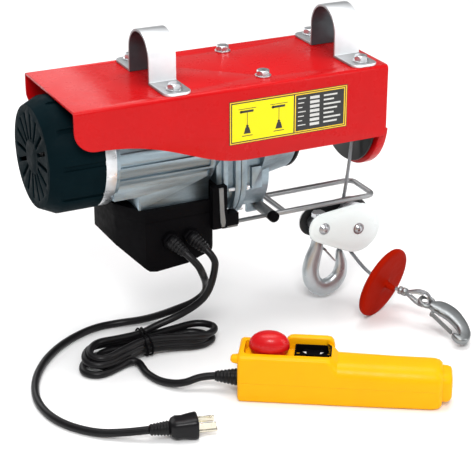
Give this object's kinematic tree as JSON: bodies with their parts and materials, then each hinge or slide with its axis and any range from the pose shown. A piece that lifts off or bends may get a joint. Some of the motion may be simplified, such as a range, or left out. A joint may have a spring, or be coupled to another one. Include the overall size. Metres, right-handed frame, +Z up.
{
  "type": "electric wire rope hoist",
  "caption": "Compact electric wire rope hoist: motor, gearbox and rope drum under a folded cover with beam clamps, hook block, limit bail, wired handset.",
  "frame": {"origin": "on the axis of the beam tube held by the two clamps, half way between the clamps", "axes": "+X along the beam towards the rope drum, +Y to the back away from the rating label, +Z up"},
  "size_m": [0.4664, 0.3746, 0.3315],
  "materials": {
    "red_paint": "gloss",
    "zinc_steel": "satin",
    "bare_steel": "satin",
    "black_plastic": "satin",
    "black_paint": "satin",
    "cast_aluminium": "sand cast",
    "motor_aluminium": "ribbed",
    "copper_winding": "varnished wire",
    "lamination_steel": "stacked sheets",
    "bronze_bush": "sintered",
    "wire_rope_steel": "stranded",
    "chrome_plate": "polished",
    "white_paint": "gloss",
    "cord_rubber": "satin",
    "yellow_plastic": "moulded",
    "red_plastic": "moulded",
    "label_film": "printed film",
    "grey_plastic": "moulded"
  },
  "bodies": {
    "hoist_frame": {"top_cover": "red_paint", "drum_end_bracket": "red_paint", "beam_clamp_left": "zinc_steel", "beam_clamp_right": "zinc_steel", "cover_bolts": "zinc_steel", "rating_label": "label_film", "fan_cover": "black_plastic", "motor_end_ring": "cast_aluminium", "motor_housing": "motor_aluminium", "stator_core": "lamination_steel", "stator_windings": "copper_winding", "ball_bearings": "bare_steel", "gearbox_case": "cast_aluminium", "gearbox_cover": "cast_aluminium", "housing_screws": "zinc_steel", "intermediate_bushes": "bronze_bush", "control_box": "black_plastic", "control_box_lid": "black_plastic", "run_capacitor": "grey_plastic", "limit_switch": "black_plastic", "bail_pivot_pin": "black_plastic", "mains_gland": "black_plastic", "handset_gland": "black_plastic", "mains_lead": "cord_rubber", "plug_body": "cord_rubber", "plug_prongs": "bronze_bush", "handset_lead": "cord_rubber", "handset_lead_hank": "cord_rubber", "cord_tie": "black_plastic", "handset_upper_shell": "yellow_plastic", "handset_lower_shell": "yellow_plastic", "handset_end_cap": "yellow_plastic", "handset_boot": "black_plastic", "switch_contact_block": "grey_plastic"},
    "motor_rotor": {"motor_shaft": "bare_steel", "rotor_core": "lamination_steel", "cooling_fan": "black_plastic"},
    "countershaft": {"intermediate_gear": "bare_steel"},
    "drum_assembly": {"rope_drum": "black_paint", "rope_windings": "wire_rope_steel", "drum_shaft": "bare_steel", "output_gear": "bare_steel"},
    "hook_block": {"wire_rope": "wire_rope_steel", "block_plate_front": "white_paint", "block_plate_back": "white_paint", "sheave_axle": "bare_steel", "stop_disc": "red_plastic", "rope_ferrule": "chrome_plate", "rope_thimble": "chrome_plate"},
    "block_sheave": {"sheave": "bare_steel"},
    "hook_yoke": {"hook_trunnion": "bare_steel"},
    "load_hook": {"main_hook": "chrome_plate"},
    "load_hook_latch": {"main_hook_latch": "bare_steel"},
    "rope_end_hook": {"end_hook": "chrome_plate"},
    "rope_end_latch": {"end_hook_latch": "bare_steel"},
    "bail": {"limit_bail": "zinc_steel", "bail_pivot_block": "zinc_steel"},
    "limit_plunger": {"switch_plunger": "grey_plastic"},
    "stop_button": {"emergency_stop_button": "red_plastic"},
    "rocker": {"rocker_switch": "black_plastic"}
  },
  "joints": [
    {"name": "rotor_spin", "type": "hinge", "parent": "hoist_frame", "child": "motor_rotor", "pos_m": [-0.12, 0, -0.09], "axis": [-1, 0, 0], "range_deg": [0, 1105]},
    {"name": "countershaft_spin", "type": "hinge", "parent": "hoist_frame", "child": "countershaft", "pos_m": [-0.03, 0, -0.135], "axis": [-1, 0, 0], "range_deg": [-171, 0]},
    {"name": "drum_spin", "type": "hinge", "parent": "hoist_frame", "child": "drum_assembly", "pos_m": [0.08, 0, -0.09], "axis": [-1, 0, 0], "range_deg": [0, 34.1]},
    {"name": "block_lift", "type": "slide", "parent": "hoist_frame", "child": "hook_block", "axis": [0, 0, 1], "range_m": [0, 0.0173]},
    {"name": "bail_tilt", "type": "hinge", "parent": "hoist_frame", "child": "bail", "pos_m": [0.012, -0.012, -0.1855], "axis": [0, -1, 0], "range_deg": [0, 9.5]},
    {"name": "limit_plunger_travel", "type": "slide", "parent": "hoist_frame", "child": "limit_plunger", "axis": [0, 0, -1], "range_m": [0, 0.0032]},
    {"name": "sheave_spin", "type": "hinge", "parent": "hook_block", "child": "block_sheave", "pos_m": [0.118, -0.029, -0.2195], "axis": [0, 1, 0], "continuous": true},
    {"name": "hook_swing", "type": "hinge", "parent": "hook_block", "child": "hook_yoke", "pos_m": [0.075, -0.029, -0.212], "axis": [0, 1, 0], "range_deg": [-3, 30]},
    {"name": "hook_swivel", "type": "hinge", "parent": "hook_yoke", "child": "load_hook", "pos_m": [0.075, -0.029, -0.22], "axis": [0, 0, 1], "continuous": true},
    {"name": "hook_latch", "type": "hinge", "parent": "load_hook", "child": "load_hook_latch", "pos_m": [0.0832, -0.029, -0.2435], "axis": [0, 1, 0], "range_deg": [0, 32], "stiffness_Nm_per_rad": 0.02, "springref_deg": -22.92},
    {"name": "end_hook_swing", "type": "hinge", "parent": "hook_block", "child": "rope_end_hook", "pos_m": [0.14852, -0.13128, -0.27368], "axis": [0.7926, 0.6097, 0], "range_deg": [-75, 20]},
    {"name": "end_hook_latch_swing", "type": "hinge", "parent": "rope_end_hook", "child": "rope_end_latch", "pos_m": [0.14568, -0.15582, -0.2809], "axis": [0.0539, -0.2972, 0.9533], "range_deg": [0, 14], "stiffness_Nm_per_rad": 0.02, "springref_deg": -22.92},
    {"name": "emergency_stop_press", "type": "slide", "parent": "hoist_frame", "child": "stop_button", "axis": [0, 0, -1], "range_m": [0, 0.004], "stiffness_N_per_m": 900, "springref_m": -0.001},
    {"name": "rocker_tilt", "type": "hinge", "parent": "hoist_frame", "child": "rocker", "pos_m": [-0.03191, -0.2159, -0.2676], "axis": [0.5255, 0.8508, 0], "range_deg": [-8, 8], "stiffness_Nm_per_rad": 0.3}
  ],
  "couplings": [
    {"joint": "countershaft_spin", "follows": "rotor_spin", "ratio": -0.15385},
    {"joint": "drum_spin", "follows": "rotor_spin", "ratio": 0.030769},
    {"joint": "block_lift", "follows": "rotor_spin", "m_per_rad": 0.00089231},
    {"joint": "bail_tilt", "follows": "rotor_spin", "ratio": 0.008418},
    {"joint": "limit_plunger_travel", "follows": "rotor_spin", "m_per_rad": 0.00016074}
  ]
}
